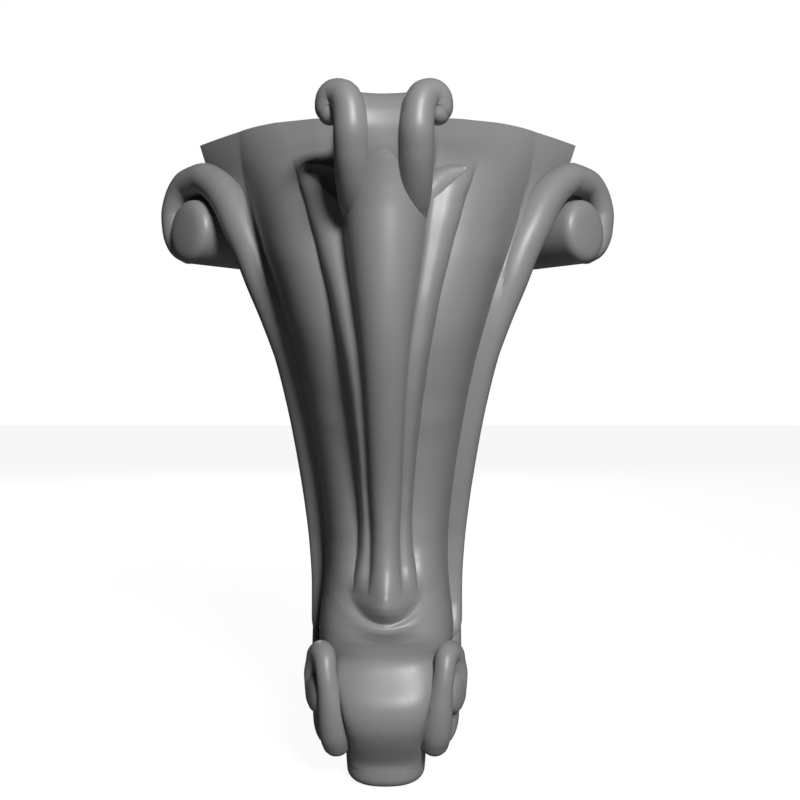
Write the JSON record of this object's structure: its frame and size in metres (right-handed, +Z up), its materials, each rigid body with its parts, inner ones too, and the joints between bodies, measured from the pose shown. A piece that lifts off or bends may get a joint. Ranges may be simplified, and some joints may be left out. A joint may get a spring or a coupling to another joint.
{
  "type": "carved furniture corner leg",
  "caption": "Carved corner leg for a sofa, chest or cabinet, with fluted S-curved faces, scrolled wings, a scrolled crest and a scrolled toe.",
  "frame": {"origin": "middle of the sole, on the floor", "axes": "+Z up to the mounting face, -Y out of the carved front arris, +X to the right seen from the front; the leg is mirrored about the YZ plane"},
  "size_m": [0.2328, 0.1558, 0.3],
  "materials": {
    "painted_wood": "carved hardwood under an even satin grey paint"
  },
  "bodies": {
    "root": {"carved_leg": "painted_wood"}
  },
  "joints": []
}
